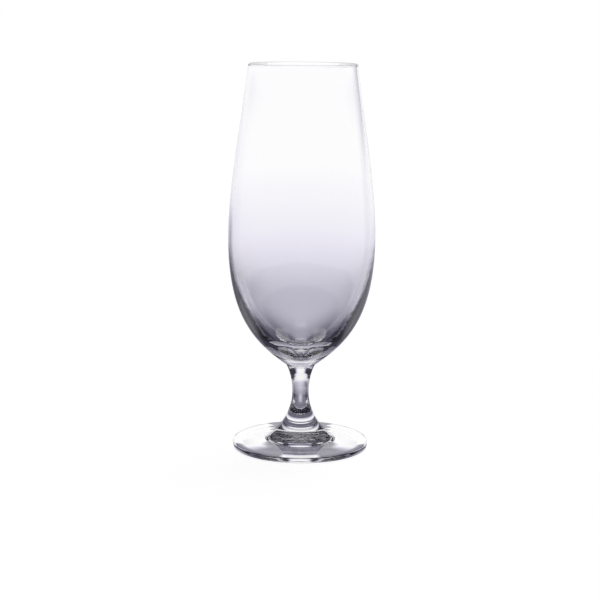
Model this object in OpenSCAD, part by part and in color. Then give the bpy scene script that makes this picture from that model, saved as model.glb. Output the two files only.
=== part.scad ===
// Footed pilsner glass: a blown bowl on a short solid stem and a round foot, fused one on
// top of the other. Millimetres, +Z up, origin on the table under the centre of the foot.

/* [Bowl] */
// Height of the rim above the table
glass_h = 190; // [175:1:215]
// Outside diameter at the rim
rim_d = 53.2; // [46:0.1:62]
// Wall at the rim, which ends in a full round
rim_wall = 1.1; // [0.8:0.1:2]
// Inward lean of the wall at the rim, in degrees from upright
rim_lean = 5; // [2:0.5:9]
// How far down from the rim the wall keeps that lean
rim_reach = 17; // [8:0.5:28]
// Outside diameter at the belly, the widest place
belly_d = 72.3; // [64:0.1:82]
// Height of the belly above the table
belly_z = 104.7; // [96:0.1:116]
// Wall at the belly
belly_wall = 1.5; // [1.1:0.1:3]
// How far up from the belly the wall stays upright before it tapers in
belly_rise = 27.5; // [12:0.5:40]
// How far down from the belly the outside stays full
belly_drop = 38.1; // [24:0.1:46]
// Steepness of the bowl's underside where it leaves the stem, in degrees from level
seat_slope = 36; // [28:0.5:44]
// How far out from the stem the underside keeps that slope
seat_reach = 19.6; // [10:0.1:24]
// Glass between the stem and the lowest place inside the bowl
base_thick = 7.2; // [5:0.1:11]
// How far down from the belly the inside stays full
inside_drop = 42.5; // [32:0.5:47]
// How far out from the axis the floor of the inside stays level
well_reach = 7.5; // [4:0.5:12]

/* [Stem] */
// Height of the seam between the stem and the bowl
head_z = 41.8; // [38:0.1:46]
// Diameter of the stem where it meets the bowl
head_d = 15; // [12:0.1:19]
// How far down the stem keeps the slope of the bowl's underside
head_reach = 1; // [0.5:0.1:2.5]
// Diameter of the waist, the thinnest place
waist_d = 8.1; // [6:0.1:11]
// Height of the waist above the table
waist_z = 27.8; // [24:0.1:31]
// How far up from the waist the stem stays upright
waist_rise = 7.2; // [4:0.1:10]
// How far down from the waist the stem stays upright
waist_drop = 15.1; // [11:0.1:17]

/* [Foot] */
// Diameter of the foot
foot_d = 67.7; // [60:0.1:78]
// Thickness of the foot at its edge
foot_edge_t = 3; // [2.4:0.1:4.5]
// Rounding of the foot's edge, above and below
foot_edge_r = 0.9; // [0.4:0.1:1.1]
// Rise of the foot's top from its edge towards the stem, in degrees from level
foot_slope = 2; // [0.5:0.1:5]
// Diameter on the foot's top where the sweep up to the stem begins
sweep_d = 35.5; // [32:0.5:48]
// How far in from there the sweep still keeps the slope of the foot's top
sweep_reach = 1.1; // [0.5:0.1:6]
// Width of the flat ring under the foot that the glass stands on
ring_w = 4; // [2:0.5:8]
// Depth of the hollow under the foot, inside that ring
hollow_depth = 1.5; // [0.8:0.1:3]

/* [Hidden] */
$fn = 180;

// Straight steps along each curve, and round each small edge
curve_steps = 28;
edge_steps = 8;
// Place of the seam between foot and stem, as a share of the sweep from the foot's top to the waist
seam_share = 0.5;
// Clear glass
glass_colour = "lavender";
glass_alpha = 0.45;

// Point at a distance and an angle, in a plane of radius and height
function polar(r, angle) = [r * cos(angle), r * sin(angle)];

// Point on a cubic curve: its two ends and, between them, the two points that it leans towards
function bezier(p, t) =
    (1 - t)^3 * p[0] + 3 * (1 - t)^2 * t * p[1] + 3 * (1 - t) * t^2 * p[2] + t^3 * p[3];

// Points along a cubic curve, or along the stretch between two shares of it
function curve(p, from_share = 0, to_share = 1) =
    [for (i = [0:curve_steps]) bezier(p, from_share + (to_share - from_share) * i / curve_steps)];

// Points along an arc
function arc(centre, r, from, to) =
    [for (i = [0:edge_steps]) centre + polar(r, from + (to - from) * i / edge_steps)];

// A path without its first point, to go on from the path before it
function after(path) = [for (i = [1:len(path) - 1]) path[i]];

// Rim: a full round over the wall, tilted with it
lip_r = rim_wall / 2;
lip_centre = [rim_d / 2 - lip_r, glass_h - lip_r];
lip_out = lip_centre + polar(lip_r, rim_lean);
lip_in = lip_centre - polar(lip_r, rim_lean);
down_wall = -polar(rim_reach, 90 + rim_lean);

// Bowl: the places that its curves run between
head = [head_d / 2, head_z];
belly_out = [belly_d / 2, belly_z];
belly_in = [belly_d / 2 - belly_wall, belly_z];
well = [0, head_z + base_thick];
up_belly = [0, belly_rise];

under_side = [head, head + polar(seat_reach, seat_slope), belly_out - [0, belly_drop], belly_out];
upper_out = [belly_out, belly_out + up_belly, lip_out + down_wall, lip_out];
upper_in = [lip_in, lip_in + down_wall, belly_in + up_belly, belly_in];
lower_in = [belly_in, belly_in - [0, inside_drop], well + [well_reach, 0], well];

// Stem: from the waist up to the bowl
waist = [waist_d / 2, waist_z];
head_flare = [waist, waist + [0, waist_rise], head - polar(head_reach, seat_slope), head];

// Foot: its rounded edge and its straight top, then the sweep that the stem carries on
edge_x = foot_d / 2 - foot_edge_r;
edge_low = [edge_x, foot_edge_r];
edge_high = [edge_x, foot_edge_t - foot_edge_r];
edge_top = edge_high + polar(foot_edge_r, 90 - foot_slope);
sweep_in = edge_top[0] - sweep_d / 2;
sweep_foot = edge_top + [-sweep_in, sweep_in * tan(foot_slope)];
foot_sweep = [
    sweep_foot,
    sweep_foot + polar(sweep_reach, 180 - foot_slope),
    waist - [0, waist_drop],
    waist
];
seam_z = bezier(foot_sweep, seam_share)[1];

// Underside of the foot: a shallow dish, flat at its centre, that ends at the ring
dish_r = edge_x - ring_w;
function dish(share) = [dish_r * share, hollow_depth * (1 - share^3)];

// The wall runs from a thin lip to a heavy pointed base, so inside and outside have their own curves
module bowl() {
    color(glass_colour, glass_alpha)
        rotate_extrude()
            polygon(concat(
                [[0, head_z]],
                curve(under_side),
                after(curve(upper_out)),
                after(arc(lip_centre, lip_r, rim_lean, rim_lean + 180)),
                after(curve(upper_in)),
                after(curve(lower_in))
            ));
}

module stem() {
    color(glass_colour, glass_alpha)
        rotate_extrude()
            polygon(concat(
                [[0, seam_z]],
                curve(foot_sweep, seam_share, 1),
                after(curve(head_flare)),
                [[0, head_z]]
            ));
}

module foot() {
    color(glass_colour, glass_alpha)
        rotate_extrude()
            polygon(concat(
                [for (i = [0:curve_steps]) dish(i / curve_steps)],
                arc(edge_low, foot_edge_r, -90, 0),
                arc(edge_high, foot_edge_r, 0, 90 - foot_slope),
                curve(foot_sweep, 0, seam_share),
                [[0, seam_z]]
            ));
}

bowl();
stem();
foot();
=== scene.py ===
"""Footed pilsner glass: looks, camera and studio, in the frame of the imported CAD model."""
import math

import bpy
from mathutils import Matrix, Vector


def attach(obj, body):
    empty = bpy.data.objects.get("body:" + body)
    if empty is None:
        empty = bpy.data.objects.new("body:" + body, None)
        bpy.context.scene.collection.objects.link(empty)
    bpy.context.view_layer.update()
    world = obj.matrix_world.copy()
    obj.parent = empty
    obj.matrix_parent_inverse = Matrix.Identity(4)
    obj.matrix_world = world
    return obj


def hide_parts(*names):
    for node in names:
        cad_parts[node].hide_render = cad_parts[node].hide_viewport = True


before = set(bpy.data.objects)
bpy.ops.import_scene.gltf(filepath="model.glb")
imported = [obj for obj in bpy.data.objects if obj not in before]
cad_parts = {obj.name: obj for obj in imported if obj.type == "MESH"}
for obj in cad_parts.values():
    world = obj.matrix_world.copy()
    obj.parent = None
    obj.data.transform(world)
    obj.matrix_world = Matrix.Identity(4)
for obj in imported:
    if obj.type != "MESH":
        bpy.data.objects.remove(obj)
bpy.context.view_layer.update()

MM = 0.001
DEGREES_IN_RADIAN = math.degrees(1)

# Sizes of the glass, as in the part's source, in millimetres and degrees
GLASS_H = 190.0
RIM_D = 53.2
RIM_WALL = 1.1
RIM_LEAN = 5.0
RIM_REACH = 17.0
BELLY_D = 72.3
BELLY_Z = 104.7
BELLY_WALL = 1.5
BELLY_RISE = 27.5
BELLY_DROP = 38.1
SEAT_SLOPE = 36.0
SEAT_REACH = 19.6
BASE_THICK = 7.2
INSIDE_DROP = 42.5
WELL_REACH = 7.5
HEAD_Z = 41.8
HEAD_D = 15.0
HEAD_REACH = 1.0
WAIST_D = 8.1
WAIST_Z = 27.8
WAIST_RISE = 7.2
WAIST_DROP = 15.1
FOOT_D = 67.7
FOOT_EDGE_T = 3.0
FOOT_EDGE_R = 0.9
FOOT_SLOPE = 2.0
SWEEP_D = 35.5
SWEEP_REACH = 1.1
RING_W = 4.0
HOLLOW_DEPTH = 1.5
SEAM_SHARE = 0.5

# Radius at which the foot's edge begins to round, in millimetres
EDGE_X = FOOT_D / 2 - FOOT_EDGE_R

# Fineness of the turned surfaces, and how close two points are taken as one, in millimetres
SEGMENTS = 192
CURVE_STEPS = 44
EDGE_STEPS = 12
TOUCH = 1e-6

# Material slots of a piece: its glass, and the hidden faces where it is fused to the next piece
GLASS, SEAM = 0, 1

# From here on, a soft edge is a pair: where a change begins and where it is complete

# Waves in the glass: depth in millimetres, and scale of the noise along each axis, per metre
STREAK_DEPTH = 0.05
STREAK_SCALE = (10, 10, 350)
RIPPLE_DEPTH = 0.03
RIPPLE_SCALE = (12, 12, 260)
SWIRL_DEPTH = 1.6
SWIRL_SCALE = (260, 260, 260)
SWIRL_TWIST = 1.2
WAVE_DETAIL = 1

# Heights of the waves in millimetres: streaks in the base, ripples in the wall that are shallower above
STREAK_EDGES = (42.5, 44), (52, 60)
RIPPLE_FROM = (55, 62)
RIPPLE_FADE = (85, 110)
RIPPLE_REST = 0.2

# Polish: the noise that roughens the glass, where it begins to count, and the most that it adds
POLISH_SCALE = (60, 60, 60)
POLISH_DETAIL = 2
POLISH_EDGE = (0.5, 0.8)
POLISH_ROUGHNESS = 0.012

# Painted shade: a dark, dull oval under the foot. Its middle in metres, the squeeze that makes it round,
# its edge in millimetres from the middle, the height that it ends at, and the share of light let through
SHADE_OVAL_AT = (0.0, -0.001, 0.0015)
SHADE_OVAL_SQUEEZE = (0.58, 1.0, 1.0)
SHADE_OVAL_EDGE = (7.6, 8.6)
SHADE_OVAL_TOP = (2, 2.4)
SHADE_OVAL_CLEARNESS = 0.15

# Glass: its colour where it is clear and its painted shade, the tint of its shadow, and its refraction
CLEAR = (0.988, 0.987, 0.993)
DARK = (0.05, 0.048, 0.07)
SHADOW_TINT = (0.86, 0.86, 0.88, 1)
GLASS_IOR = 1.52

# Sides of stem and bowl's base, darkened by painted shade: how far they turn away, and heights in
# millimetres
STEM_TURN = (0.02, 0.45)
STEM_EDGES = (21, 28), (30, 42)
BASE_TURN = (0.12, 0.5)
BASE_EDGES = (44.5, 47), (52, 66)
BASE_SHARE = 0.75
PAINTED_SIDE_SHADE = 0.82

# The thin lip all but vanishes against white
LIP_EDGE = (188.6, 189.4)
LIP_ALPHA = 0.3

# Greys of the studio, which lean to violet between black and white: level and colour
GREYS = (
    (0.0, (0.0, 0.0, 0.0)),
    (0.04, (0.040, 0.038, 0.055)),
    (0.17, (0.17, 0.162, 0.22)),
    (0.48, (0.48, 0.468, 0.548)),
    (0.77, (0.77, 0.742, 0.858)),
    (0.92, (0.92, 0.92, 0.96)),
    (1.0, (1.0, 1.0, 1.0)),
)
WHITE = (1, 1, 1, 1)

# Studio around the glass. Edges are in degrees: sides are turned from straight behind, the rest are heights
STUDIO_DARK = 0.035
BACKDROP_TURN = -4
BACKDROP_SIDE = (18, 40)
BACKDROP_TOP = (6, 9)
BACKDROP_TAPER = (0, 20)
BACKDROP_TAPER_BY = 9
STRIP_SIDE = (9, 21)
STRIP_TOP = (29, 33)
BAR_SIDE = (17, 27)
BAR_EDGES = (24, 26.5), (29, 33)
BAR_LEVEL = 0.9
WALLS_SIDE = (30, 150)
WALLS_TOP_BEHIND = 3
WALLS_TOP_FRONT = 15
WALLS_TOP_SOFT = (-1.5, 1.5)
GAP_TURNS = (26, 32), (44, 56)
GAP_DEPTH = 0.6
CEILING_SIDE = (45, 75)
CEILING_ROUND = (55, 75)
CEILING_FROM = (32, 36)
CEILING_LEVEL = 0.4
PANEL_SIDE = (30, 40)
PANEL_EDGES = (37.5, 39.5), (52, 58)
PANEL_LEVEL = 0.95
TOP_FROM = (70, 78)
TOP_LEVEL = 0.8
FILL_STRENGTH = 0.2

# Painted light and shade on the floor as the glass sees it: darker near the glass, lighter further off
# Open floor. Sides and turns are in degrees from straight behind, the rest is millimetres from the axis
OPEN_AT = 144
OPEN_LEVEL = 0.42
OPEN_GAIN = 0.263
OPEN_LEAST = 0.28
FRONT_SIDE = (38, 62)
FRONT_FROM = (150, 350)
FRONT_GAIN = 0.4
DIM_FROM = (150, 260)
LEFT_TURNS = (-48, -34), (-26, -4)
LEFT_DEPTH = 0.5
LEFT_FADE = (700, 1400)
LEFT_REST = 0.2
RIGHT_TURNS = (6, 16), (26, 40)
RIGHT_DEPTH = 0.14
RIGHT_FADE = (500, 1000)
RIGHT_REST = 0.3

# Painted light on the floor: a bright patch at both sides, the left one shorter
LIGHT_PATCH_SIDES = (34, 50), (72, 84)
LIGHT_PATCH_NEAR = (62, 118)
LIGHT_PATCH_NEAR_LEVEL = 0.2
LIGHT_PATCH_LEVEL = 0.85
LIGHT_PATCH_TURN = (-20, 20)
LIGHT_PATCH_END_LEFT = 190
LIGHT_PATCH_END_RIGHT = 300
LIGHT_PATCH_SOFT = (0, 90)

# Painted shadow near the foot, with a faint path and a spot of light straight behind, and a dark patch each
# side
NEAR_EDGE = (40, 50)
NEAR_INNER = 0.14
NEAR_OUTER = 0.17
NEAR_END = (66, 92)
PATH_SIDE = (3, 18)
PATH_EDGES = (45, 60), (150, 260)
PATH_LEVEL = 0.1
SPOT_SIDE = (2, 12)
SPOT_EDGES = (38, 42), (62, 100)
SPOT_LEVEL = 0.3
PATCH_SIDES = (24, 30), (43, 49)
PATCH_EDGES = (46, 54), (68, 82)
PATCH_DEPTH = 0.7

# Painted light: a white ring under the foot, narrow and split behind, wide at the sides, dim in front with a
# glint
HALO_START_BEHIND = 11
HALO_START_FRONT = 17
HALO_START_SIDE = (80, 115)
HALO_START_SOFT = (0, 5)
HALO_END_BEHIND = 18
HALO_END_ASIDE = 35
HALO_END_SIDE = (19, 33)
HALO_TRIM = 6.5
HALO_TRIM_SIDE = (92, 108)
HALO_END_SOFT = (0, 3)
SPLIT_SIDE = (32, 46)
SPLIT_EDGES = (18, 22), (26, 30)
HALO_FRONT_SIDE = (112, 138)
HALO_FRONT_LEVEL = 0.14
GLINT_SIDE = (158, 166)
GLINT_EDGES = (25, 28), (34, 40)

# Floor as the camera sees it: half its width in metres, its own white, and the paint that takes the shadow
FLOOR_HALF = 40.0
FLOOR_GLOW = 0.72
FLOOR_PAINT = (0.8, 0.8, 0.8, 1)

# Broad soft lamp: strength, and degrees of breadth and tilt
LAMP_STRENGTH = 0.6
LAMP_BREADTH = 50
LAMP_TILT_X = -25
LAMP_TILT_Y = 12

# Camera, from the photograph's perspective: metres, degrees and millimetres of lens
CAMERA_AT = (-0.0006, -0.7444, 0.2166)
CAMERA_DOWN = 10.84
CAMERA_ROLL = 0.47
CAMERA_LENS = 91.8
CAMERA_SENSOR = 36

# Bounces for light that is caught in the thick glass
MOST_BOUNCES = 24
GLOSSY_BOUNCES = 6
GLASS_BOUNCES = 16


def polar(radius, degrees):
    angle = math.radians(degrees)
    return Vector((radius * math.cos(angle), radius * math.sin(angle)))


def outward(tangent):
    """Normal of an outline that runs with the glass on its left."""
    return Vector((tangent.y, -tangent.x)).normalized()


def bezier(p, t):
    """Point of a cubic curve."""
    s = 1 - t
    return s**3 * p[0] + 3 * s * s * t * p[1] + 3 * s * t * t * p[2] + t**3 * p[3]


def curve(p, start=0.0, end=1.0):
    """Points of a cubic curve with their normals."""
    path = []
    for i in range(CURVE_STEPS + 1):
        t = start + (end - start) * i / CURVE_STEPS
        s = 1 - t
        tangent = s * s * (p[1] - p[0]) + 2 * s * t * (p[2] - p[1]) + t * t * (p[3] - p[2])
        path.append((bezier(p, t), outward(tangent)))
    return path


def arc(centre, radius, start, end):
    """Points of an arc with their normals."""
    path = []
    for i in range(EDGE_STEPS + 1):
        normal = polar(1, start + (end - start) * i / EDGE_STEPS)
        path.append((centre + radius * normal, normal))
    return path


def straight(a, b):
    """Both ends of a straight stretch with its normal."""
    normal = outward(b - a)
    return [(a, normal), (b, normal)]


def on_axis(point):
    """Place on the axis at the height of a point."""
    return Vector((0, point.y))


def head_place():
    """Where the stem meets the bowl."""
    return Vector((HEAD_D / 2, HEAD_Z))


def bowl_outline():
    """Half section of the bowl, from the axis under its base round to the axis inside."""
    head = head_place()
    lip_r = RIM_WALL / 2
    lip_centre = Vector((RIM_D / 2 - lip_r, GLASS_H - lip_r))
    lip_out = lip_centre + polar(lip_r, RIM_LEAN)
    lip_in = lip_centre - polar(lip_r, RIM_LEAN)
    down_wall = -polar(RIM_REACH, 90 + RIM_LEAN)
    belly_out = Vector((BELLY_D / 2, BELLY_Z))
    belly_in = belly_out - Vector((BELLY_WALL, 0))
    up_belly = Vector((0, BELLY_RISE))
    well = Vector((0, HEAD_Z + BASE_THICK))
    seat = head + polar(SEAT_REACH, SEAT_SLOPE)
    full_out = belly_out - Vector((0, BELLY_DROP))
    full_in = belly_in - Vector((0, INSIDE_DROP))
    return [
        (SEAM, straight(on_axis(head), head)),
        (GLASS, curve([head, seat, full_out, belly_out])),
        (GLASS, curve([belly_out, belly_out + up_belly, lip_out + down_wall, lip_out])),
        (GLASS, arc(lip_centre, lip_r, RIM_LEAN, RIM_LEAN + 180)),
        (GLASS, curve([lip_in, lip_in + down_wall, belly_in + up_belly, belly_in])),
        (GLASS, curve([belly_in, full_in, well + Vector((WELL_REACH, 0)), well])),
    ]


def foot_edge():
    """Centres of the foot's rounded edge, the end of that edge, and where the sweep to the stem begins."""
    low = Vector((EDGE_X, FOOT_EDGE_R))
    high = Vector((EDGE_X, FOOT_EDGE_T - FOOT_EDGE_R))
    top = high + polar(FOOT_EDGE_R, 90 - FOOT_SLOPE)
    run = top.x - SWEEP_D / 2
    sweep_start = top + Vector((-run, run * math.tan(math.radians(FOOT_SLOPE))))
    return low, high, top, sweep_start


def foot_sweep():
    """Curve from the foot's top up to the waist of the stem."""
    start = foot_edge()[-1]
    waist = Vector((WAIST_D / 2, WAIST_Z))
    return [start, start + polar(SWEEP_REACH, 180 - FOOT_SLOPE), waist - Vector((0, WAIST_DROP)), waist]


def stem_outline():
    """Half section of the stem, from the seam with the foot up to the seam with the bowl."""
    sweep = foot_sweep()
    seam = bezier(sweep, SEAM_SHARE)
    waist = sweep[-1]
    head = head_place()
    flare = [waist, waist + Vector((0, WAIST_RISE)), head - polar(HEAD_REACH, SEAT_SLOPE), head]
    return [
        (SEAM, straight(on_axis(seam), seam)),
        (GLASS, curve(sweep, SEAM_SHARE, 1)),
        (GLASS, curve(flare)),
        (SEAM, straight(head, on_axis(head))),
    ]


def foot_dish(radius):
    """Shallow hollow under the foot, flat at its centre, with its normals."""
    path = []
    for i in range(CURVE_STEPS + 1):
        share = i / CURVE_STEPS
        point = Vector((radius * share, HOLLOW_DEPTH * (1 - share**3)))
        path.append((point, outward(Vector((radius, -3 * HOLLOW_DEPTH * share**2)))))
    return path


def foot_outline():
    """Half section of the foot, from the hollow under it round its edge to the seam with the stem."""
    low, high, top, sweep_start = foot_edge()
    sweep = foot_sweep()
    seam = bezier(sweep, SEAM_SHARE)
    dish_r = EDGE_X - RING_W
    to_side = Vector((FOOT_EDGE_R, 0))
    return [
        (GLASS, foot_dish(dish_r)),
        (GLASS, straight(Vector((dish_r, 0)), Vector((EDGE_X, 0)))),
        (GLASS, arc(low, FOOT_EDGE_R, -90, 0)),
        (GLASS, straight(low + to_side, high + to_side)),
        (GLASS, arc(high, FOOT_EDGE_R, 0, 90 - FOOT_SLOPE)),
        (GLASS, straight(top, sweep_start)),
        (GLASS, curve(sweep, 0, SEAM_SHARE)),
        (SEAM, straight(seam, on_axis(seam))),
    ]


def linked(name, data):
    """A new object in the scene."""
    made = bpy.data.objects.new(name, data)
    bpy.context.scene.collection.objects.link(made)
    return made


def rings_and_strips(sections):
    """Rings of an outline, each once, and the strips between them with their normals and slots."""
    rings, strips = [], []
    for slot, path in sections:
        before = None
        for point, normal in path:
            if not rings or (point - rings[-1]).length > TOUCH:
                rings.append(point)
            here = (len(rings) - 1, normal)
            if before and before[0] != here[0]:
                strips.append((before, here, slot))
            before = here
    return rings, strips


def turned(name, sections, materials):
    """A closed piece turned about the axis, with the outline's own normals on its faces."""
    rings, strips = rings_and_strips(sections)
    turns = [polar(1, 360 * i / SEGMENTS) for i in range(SEGMENTS)]
    vertices, first = [], []
    for ring in rings:
        first.append(len(vertices))
        spokes = turns if ring.x > TOUCH else [Vector((0, 0))]
        vertices += [(ring.x * t.x * MM, ring.x * t.y * MM, ring.y * MM) for t in spokes]

    faces, normals, slots = [], [], []
    for a, b, slot in strips:
        for i in range(SEGMENTS):
            j = (i + 1) % SEGMENTS
            corners = {}
            for (ring, normal), k in ((a, i), (a, j), (b, j), (b, i)):
                vertex = first[ring] + (k if rings[ring].x > TOUCH else 0)
                corners.setdefault(vertex, (normal.x * turns[k].x, normal.x * turns[k].y, normal.y))
            faces.append(list(corners))
            normals += corners.values()
            slots.append(slot)

    mesh = bpy.data.meshes.new(name)
    mesh.from_pydata(vertices, [], faces)
    mesh.polygons.foreach_set("use_smooth", [True] * len(faces))
    mesh.polygons.foreach_set("material_index", slots)
    mesh.normals_split_custom_set(normals)
    for material in materials:
        mesh.materials.append(material)
    return linked(name, mesh)


class Graph:
    """Short forms for building a node tree."""

    def __init__(self, tree):
        self.tree = tree
        self.tree.nodes.clear()

    def node(self, kind, **settings):
        made = self.tree.nodes.new(kind)
        for key, value in settings.items():
            setattr(made, key, value)
        return made

    def feed(self, socket, value):
        if isinstance(value, bpy.types.NodeSocket):
            self.tree.links.new(value, socket)
        else:
            socket.default_value = value

    def math(self, operation, *values):
        made = self.node("ShaderNodeMath", operation=operation)
        for socket, value in zip(made.inputs, values):
            self.feed(socket, value)
        return made.outputs[0]

    def vector(self, operation, *values):
        made = self.node("ShaderNodeVectorMath", operation=operation)
        for socket, value in zip(made.inputs, values):
            self.feed(socket, value)
        return made.outputs["Value" if operation == "LENGTH" else "Vector"]

    def parts(self, vector):
        """X, Y and Z of a vector."""
        made = self.node("ShaderNodeSeparateXYZ")
        self.feed(made.inputs[0], vector)
        return made.outputs

    def many(self, operation, values):
        """One operation over two values or more."""
        result = values[0]
        for value in values[1:]:
            result = self.math(operation, result, value)
        return result

    def product(self, *values):
        return self.many("MULTIPLY", values)

    def total(self, *values):
        return self.many("ADD", values)

    def most(self, *values):
        return self.many("MAXIMUM", values)

    def without(self, level, share):
        """A level with a share of it taken away."""
        return self.product(level, self.math("SUBTRACT", 1.0, share))

    def step(self, value, edge, start, end):
        """start before the edge, end after it, and a soft step between them."""
        made = self.node("ShaderNodeMapRange", interpolation_type="SMOOTHSTEP")
        names = ("Value", "From Min", "From Max", "To Min", "To Max")
        for name, fed in zip(names, (value, *edge, start, end)):
            self.feed(made.inputs[name], fed)
        return made.outputs[0]

    def rise(self, value, edge, level=1.0):
        return self.step(value, edge, 0.0, level)

    def fall(self, value, edge, level=1.0):
        return self.step(value, edge, level, 0.0)

    def window(self, value, edges, level=1.0):
        """The level between two edges, and 0 outside them."""
        opening, closing = edges
        return self.product(self.rise(value, opening, level), self.fall(value, closing))

    def azimuth(self, x, y):
        """Degrees from straight behind, to the right."""
        return self.math("MULTIPLY", self.math("ARCTAN2", x, y), DEGREES_IN_RADIAN)

    def noise(self, place, scale, detail, twist=0.0):
        """Noise at a place in metres, with its own scale along each axis."""
        made = self.node("ShaderNodeTexNoise")
        self.feed(made.inputs["Vector"], self.vector("MULTIPLY", place, scale))
        for name, value in (("Scale", 1.0), ("Detail", detail), ("Distortion", twist)):
            self.feed(made.inputs[name], value)
        return made.outputs[0]

    def ramp(self, level, stops):
        """Colour by level, between stops of a level and a colour each."""
        made = self.node("ShaderNodeValToRGB")
        elements = made.color_ramp.elements
        while len(elements) < len(stops):
            elements.new(0.5)
        for element, (place, colour) in zip(elements, stops):
            element.position = place
            element.color = (*colour, 1)
        self.feed(made.inputs[0], level)
        return made.outputs["Color"]

    def blend(self, share, first, second):
        """Values: first where share is 0, second where it is 1."""
        made = self.node("ShaderNodeMix", data_type="FLOAT")
        for socket, value in zip((made.inputs[0], made.inputs[2], made.inputs[3]), (share, first, second)):
            self.feed(socket, value)
        return made.outputs[0]

    def mix(self, share, first, second):
        """Shaders: first where share is 0, second where it is 1."""
        made = self.node("ShaderNodeMixShader")
        self.feed(made.inputs[0], share)
        self.feed(made.inputs[1], first.outputs[0])
        self.feed(made.inputs[2], second.outputs[0])
        return made

    def surface(self, kind, shader):
        out = self.node(kind)
        self.feed(out.inputs["Surface"], shader.outputs[0])


def new_material(name):
    material = bpy.data.materials.new(name)
    material.use_nodes = True
    return material, Graph(material.node_tree)


def painted_shade_oval(g, place, height):
    """1 inside the painted shade oval under the foot, 0 outside it."""
    from_middle = g.vector("SUBTRACT", place, SHADE_OVAL_AT)
    distance = g.math("DIVIDE", g.vector("LENGTH", g.vector("MULTIPLY", from_middle, SHADE_OVAL_SQUEEZE)), MM)
    return g.product(g.fall(height, SHADE_OVAL_TOP), g.fall(distance, SHADE_OVAL_EDGE))


def glass_waves(g, place, height, shade_oval):
    """Waves that blowing leaves: streaks round the base, ripples in the wall, swirls in the painted shade
    oval.
    """
    base = g.window(height, STREAK_EDGES)
    wall = g.product(g.rise(height, RIPPLE_FROM), g.step(height, RIPPLE_FADE, 1.0, RIPPLE_REST))
    streaks = g.product(g.noise(place, STREAK_SCALE, WAVE_DETAIL), base, STREAK_DEPTH)
    ripples = g.product(g.noise(place, RIPPLE_SCALE, WAVE_DETAIL), wall, RIPPLE_DEPTH)
    swirls = g.product(g.noise(place, SWIRL_SCALE, WAVE_DETAIL, SWIRL_TWIST), shade_oval, SWIRL_DEPTH)
    bump = g.node("ShaderNodeBump")
    bump.inputs["Distance"].default_value = MM
    g.feed(bump.inputs["Height"], g.total(streaks, ripples, swirls))
    return bump.outputs[0]


def painted_side_shade(g, height):
    """Painted shade on the solid stem and the thick base, which grows towards their sides as they turn from
    view.
    """
    turned_away = g.node("ShaderNodeLayerWeight").outputs["Facing"]
    base = g.product(g.rise(turned_away, BASE_TURN), g.window(height, BASE_EDGES, BASE_SHARE))
    stem = g.product(g.rise(turned_away, STEM_TURN), g.window(height, STEM_EDGES))
    return g.product(g.most(stem, base), PAINTED_SIDE_SHADE)


def glass_material():
    """Clear, slightly wavy glass with painted shade on its sides, a dull oval of painted shade under the
    foot, and a lip that fades out.
    """
    material, g = new_material("clear_glass")
    place = g.node("ShaderNodeTexCoord").outputs["Object"]
    height = g.math("DIVIDE", g.parts(place)["Z"], MM)
    shade_oval = painted_shade_oval(g, place, height)
    polish = g.noise(place, POLISH_SCALE, POLISH_DETAIL)

    shader = g.node("ShaderNodeBsdfPrincipled")
    g.feed(shader.inputs["Normal"], glass_waves(g, place, height, shade_oval))
    g.feed(shader.inputs["Roughness"], g.rise(polish, POLISH_EDGE, POLISH_ROUGHNESS))
    # Painted shade in the colour: the darker sides of stem and base, and the dark oval under the foot
    painted_shade = g.most(painted_side_shade(g, height), shade_oval)
    g.feed(shader.inputs["Base Color"], g.ramp(painted_shade, ((0.0, CLEAR), (1.0, DARK))))
    # The oval is also dull and lets less light through, as part of its painted shade
    g.feed(shader.inputs["Transmission Weight"], g.step(shade_oval, (0, 1), 1.0, SHADE_OVAL_CLEARNESS))
    g.feed(shader.inputs["Alpha"], g.step(height, LIP_EDGE, 1.0, LIP_ALPHA))
    shader.inputs["IOR"].default_value = GLASS_IOR
    shadow = g.node("ShaderNodeBsdfTransparent")
    shadow.inputs["Color"].default_value = SHADOW_TINT
    light_path = g.node("ShaderNodeLightPath")
    g.surface("ShaderNodeOutputMaterial", g.mix(light_path.outputs["Is Shadow Ray"], shader, shadow))
    return material


def seam_material():
    """Fused glass has no surface, so the faces inside a seam let everything through."""
    material, g = new_material("fused_seam")
    shader = g.node("ShaderNodeBsdfTransparent")
    shader.inputs["Color"].default_value = WHITE
    g.surface("ShaderNodeOutputMaterial", shader)
    return material


def studio_level(g, azimuth, height):
    """A low backdrop, a strip and a bar of light above it, walls and a dim ceiling, with dark between."""
    aside = g.math("ABSOLUTE", azimuth)
    off_centre = g.math("ABSOLUTE", g.math("SUBTRACT", azimuth, BACKDROP_TURN))
    taper = g.rise(height, BACKDROP_TAPER, BACKDROP_TAPER_BY)
    backdrop = g.product(g.fall(g.total(off_centre, taper), BACKDROP_SIDE), g.fall(height, BACKDROP_TOP))
    strip = g.product(g.fall(aside, STRIP_SIDE), g.fall(height, STRIP_TOP))
    bar = g.product(g.fall(aside, BAR_SIDE, BAR_LEVEL), g.window(height, BAR_EDGES))

    wall_top = g.step(aside, WALLS_SIDE, WALLS_TOP_BEHIND, WALLS_TOP_FRONT)
    walls = g.fall(g.math("SUBTRACT", height, wall_top), WALLS_TOP_SOFT)
    walls = g.without(walls, g.window(azimuth, GAP_TURNS, GAP_DEPTH))

    panel = g.product(g.fall(aside, PANEL_SIDE, PANEL_LEVEL), g.window(height, PANEL_EDGES))
    ceiling = g.most(g.rise(height, CEILING_FROM, CEILING_LEVEL), panel, g.rise(height, TOP_FROM, TOP_LEVEL))
    ceiling = g.product(ceiling, g.most(g.fall(aside, CEILING_SIDE), g.rise(height, CEILING_ROUND)))
    return g.most(backdrop, strip, bar, walls, ceiling, STUDIO_DARK)


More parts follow.
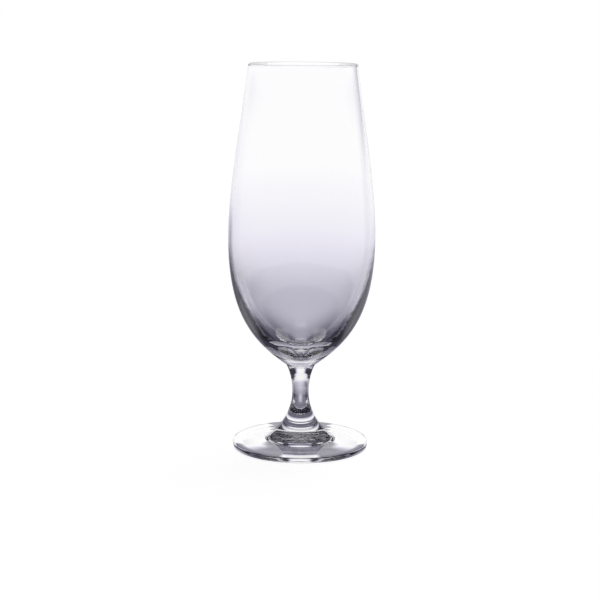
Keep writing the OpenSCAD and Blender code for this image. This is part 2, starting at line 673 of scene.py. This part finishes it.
def studio_world():
    """The studio for rays that met glass, white for the camera, and an even fill for the floor."""
    world = bpy.data.worlds.new("studio")
    world.use_nodes = True
    bpy.context.scene.world = world
    g = Graph(world.node_tree)
    x, y, z = g.parts(g.node("ShaderNodeTexCoord").outputs["Generated"])
    height = g.math("MULTIPLY", g.math("ARCSINE", z), DEGREES_IN_RADIAN)

    light_path = g.node("ShaderNodeLightPath")
    met_glass = g.most(light_path.outputs["Is Glossy Ray"], light_path.outputs["Is Transmission Ray"])
    studio = g.node("ShaderNodeBackground")
    g.feed(studio.inputs["Color"], g.ramp(studio_level(g, g.azimuth(x, y), height), GREYS))
    fill = g.node("ShaderNodeBackground")
    fill.inputs["Color"].default_value = WHITE
    fill.inputs["Strength"].default_value = FILL_STRENGTH
    white = g.node("ShaderNodeBackground")
    white.inputs["Color"].default_value = WHITE
    around = g.mix(met_glass, fill, studio)
    g.surface("ShaderNodeOutputWorld", g.mix(light_path.outputs["Is Camera Ray"], around, white))


def open_floor(g, radius, turn, aside):
    """Painted light and shade of the floor: it brightens outwards, at the sides and in front, with a dim
    stretch left and right behind.
    """
    distance = g.math("LOGARITHM", g.math("DIVIDE", radius, OPEN_AT), math.e)
    level = g.most(g.math("MULTIPLY_ADD", distance, OPEN_GAIN, OPEN_LEVEL), OPEN_LEAST)
    front = g.product(g.rise(aside, FRONT_SIDE), g.rise(radius, FRONT_FROM, FRONT_GAIN))
    level = g.math("MINIMUM", g.total(level, front), 1.0)
    left = g.product(g.window(turn, LEFT_TURNS, LEFT_DEPTH), g.step(radius, LEFT_FADE, 1.0, LEFT_REST))
    right = g.product(g.window(turn, RIGHT_TURNS, RIGHT_DEPTH), g.step(radius, RIGHT_FADE, 1.0, RIGHT_REST))
    return g.without(level, g.product(g.most(left, right), g.rise(radius, DIM_FROM)))


def side_light_patches(g, radius, turn, aside):
    """Painted light: bright patches on the floor at both sides."""
    end = g.step(turn, LIGHT_PATCH_TURN, LIGHT_PATCH_END_LEFT, LIGHT_PATCH_END_RIGHT)
    level = g.step(radius, LIGHT_PATCH_NEAR, LIGHT_PATCH_NEAR_LEVEL, LIGHT_PATCH_LEVEL)
    return g.product(g.window(aside, LIGHT_PATCH_SIDES), level, g.fall(g.math("SUBTRACT", radius, end), LIGHT_PATCH_SOFT))


def near_floor(g, radius, aside, further):
    """Painted shadow on the floor near the foot, which goes over into the floor further off."""
    level = g.step(radius, NEAR_EDGE, NEAR_INNER, NEAR_OUTER)
    level = g.blend(g.rise(radius, NEAR_END), level, further)
    path = g.product(g.fall(aside, PATH_SIDE, PATH_LEVEL), g.window(radius, PATH_EDGES))
    spot = g.product(g.fall(aside, SPOT_SIDE, SPOT_LEVEL), g.window(radius, SPOT_EDGES))
    patch = g.product(g.window(aside, PATCH_SIDES), g.window(radius, PATCH_EDGES, PATCH_DEPTH))
    return g.without(g.total(level, path, spot), patch)


def foot_halo(g, radius, aside):
    """Painted light: a white ring under the foot, with a painted glint at the front edge."""
    start = g.step(aside, HALO_START_SIDE, HALO_START_BEHIND, HALO_START_FRONT)
    end = g.step(aside, HALO_END_SIDE, HALO_END_BEHIND, HALO_END_ASIDE)
    end = g.math("SUBTRACT", end, g.rise(aside, HALO_TRIM_SIDE, HALO_TRIM))
    past_start = g.math("SUBTRACT", radius, start)
    past_end = g.math("SUBTRACT", radius, end)
    ring = g.product(g.rise(past_start, HALO_START_SOFT), g.fall(past_end, HALO_END_SOFT))
    ring = g.without(ring, g.product(g.fall(aside, SPLIT_SIDE), g.window(radius, SPLIT_EDGES)))
    ring = g.product(ring, g.step(aside, HALO_FRONT_SIDE, 1.0, HALO_FRONT_LEVEL))
    return g.most(ring, g.product(g.rise(aside, GLINT_SIDE), g.window(radius, GLINT_EDGES)))


def floor_material():
    """Painted light and shade of the floor for rays that met glass, plain white with a shadow for the
    camera.
    """
    material, g = new_material("pale_floor")
    position = g.node("ShaderNodeNewGeometry").outputs["Position"]
    x, y, _ = g.parts(position)
    radius = g.math("DIVIDE", g.vector("LENGTH", position), MM)
    turn = g.azimuth(x, y)
    aside = g.math("ABSOLUTE", turn)
    further = g.most(open_floor(g, radius, turn, aside), side_light_patches(g, radius, turn, aside))
    level = g.most(near_floor(g, radius, aside, further), foot_halo(g, radius, aside))

    glow = g.node("ShaderNodeEmission")
    g.feed(glow.inputs["Color"], g.ramp(level, GREYS))
    white = g.node("ShaderNodeEmission")
    white.inputs["Strength"].default_value = FLOOR_GLOW
    paint = g.node("ShaderNodeBsdfDiffuse")
    paint.inputs["Color"].default_value = FLOOR_PAINT
    lit = g.node("ShaderNodeAddShader")
    g.feed(lit.inputs[0], white.outputs[0])
    g.feed(lit.inputs[1], paint.outputs[0])
    light_path = g.node("ShaderNodeLightPath")
    g.surface("ShaderNodeOutputMaterial", g.mix(light_path.outputs["Is Camera Ray"], glow, lit))
    return material


def make_floor():
    half = FLOOR_HALF
    corners = [(-half, -half, 0), (half, -half, 0), (half, half, 0), (-half, half, 0)]
    mesh = bpy.data.meshes.new("floor")
    mesh.from_pydata(corners, [], [(0, 1, 2, 3)])
    mesh.materials.append(floor_material())
    floor = linked("floor", mesh)


def make_lamp():
    """A broad soft light from above, for the shadow on the floor."""
    data = bpy.data.lights.new("soft_light", "SUN")
    data.energy = LAMP_STRENGTH
    data.angle = math.radians(LAMP_BREADTH)
    lamp = linked("soft_light", data)
    lamp.rotation_euler = (math.radians(LAMP_TILT_X), math.radians(LAMP_TILT_Y), 0)
    lamp.visible_glossy = False
    lamp.visible_transmission = False


def make_camera():
    data = bpy.data.cameras.new("camera")
    data.sensor_width = CAMERA_SENSOR
    data.lens = CAMERA_LENS
    camera = linked("camera", data)
    tilt = Matrix.Rotation(math.radians(90 - CAMERA_DOWN), 4, "X")
    roll = Matrix.Rotation(math.radians(CAMERA_ROLL), 4, "Z")
    camera.matrix_world = Matrix.Translation(CAMERA_AT) @ tilt @ roll
    bpy.context.scene.camera = camera


def make_glass():
    materials = [glass_material(), seam_material()]
    for node, outline in (("bowl", bowl_outline), ("stem", stem_outline), ("foot", foot_outline)):
        piece = turned(node + "_glass", outline(), materials)
        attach(piece, "root")
        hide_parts(node)


def set_light_paths():
    cycles = bpy.context.scene.cycles
    cycles.max_bounces = MOST_BOUNCES
    cycles.glossy_bounces = GLOSSY_BOUNCES
    cycles.transmission_bounces = GLASS_BOUNCES
    cycles.transparent_max_bounces = GLASS_BOUNCES


bpy.context.scene.view_settings.view_transform = "Standard"
set_light_paths()
make_camera()
make_glass()
make_floor()
make_lamp()
studio_world()
